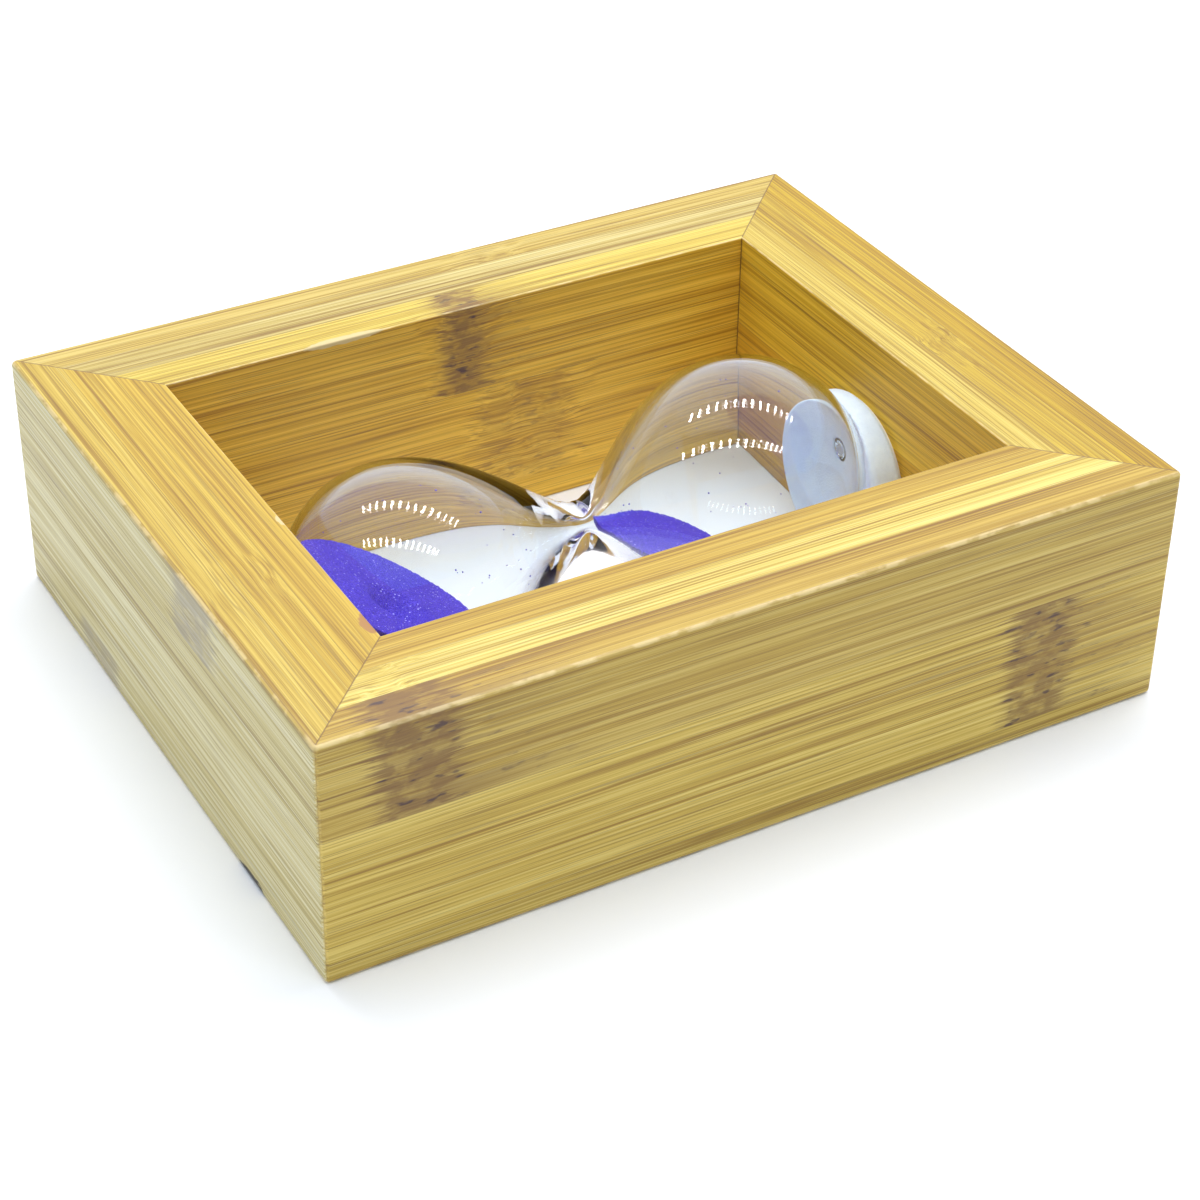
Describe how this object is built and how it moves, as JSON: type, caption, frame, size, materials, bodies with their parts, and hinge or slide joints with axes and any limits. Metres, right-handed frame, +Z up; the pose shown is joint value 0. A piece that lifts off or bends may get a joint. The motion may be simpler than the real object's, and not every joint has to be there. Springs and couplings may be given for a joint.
{
  "type": "hourglass",
  "caption": "rectangular bamboo frame around a clear blown-glass sand timer with purple sand, lying on its face",
  "frame": {"origin": "centre of the frame's lower face, the face it lies on", "axes": "+X along the long rails and the glass, +Y across the frame, +Z up through the frame's thickness"},
  "size_m": [0.16, 0.128, 0.046],
  "materials": {
    "bamboo": "satin",
    "dowel_wood": "matte",
    "glass": "gloss",
    "sand": "matte",
    "pad": "matte",
    "tape": "matte"
  },
  "bodies": {
    "root": {"front_rail_outer_ply": "bamboo", "front_rail_core_ply": "bamboo", "front_rail_inner_ply": "bamboo", "back_rail_outer_ply": "bamboo", "back_rail_core_ply": "bamboo", "back_rail_inner_ply": "bamboo", "left_rail_outer_ply": "bamboo", "left_rail_core_ply": "bamboo", "left_rail_inner_ply": "bamboo", "right_rail_outer_ply": "bamboo", "right_rail_core_ply": "bamboo", "right_rail_inner_ply": "bamboo", "front_left_dowels": "dowel_wood", "front_right_dowels": "dowel_wood", "back_left_dowels": "dowel_wood", "back_right_dowels": "dowel_wood", "glass_vessel": "glass", "left_bulb_sand": "sand", "right_bulb_sand": "sand", "left_end_pad": "pad", "left_tape_disc": "tape", "right_end_pad": "pad", "right_tape_disc": "tape"}
  },
  "joints": []
}
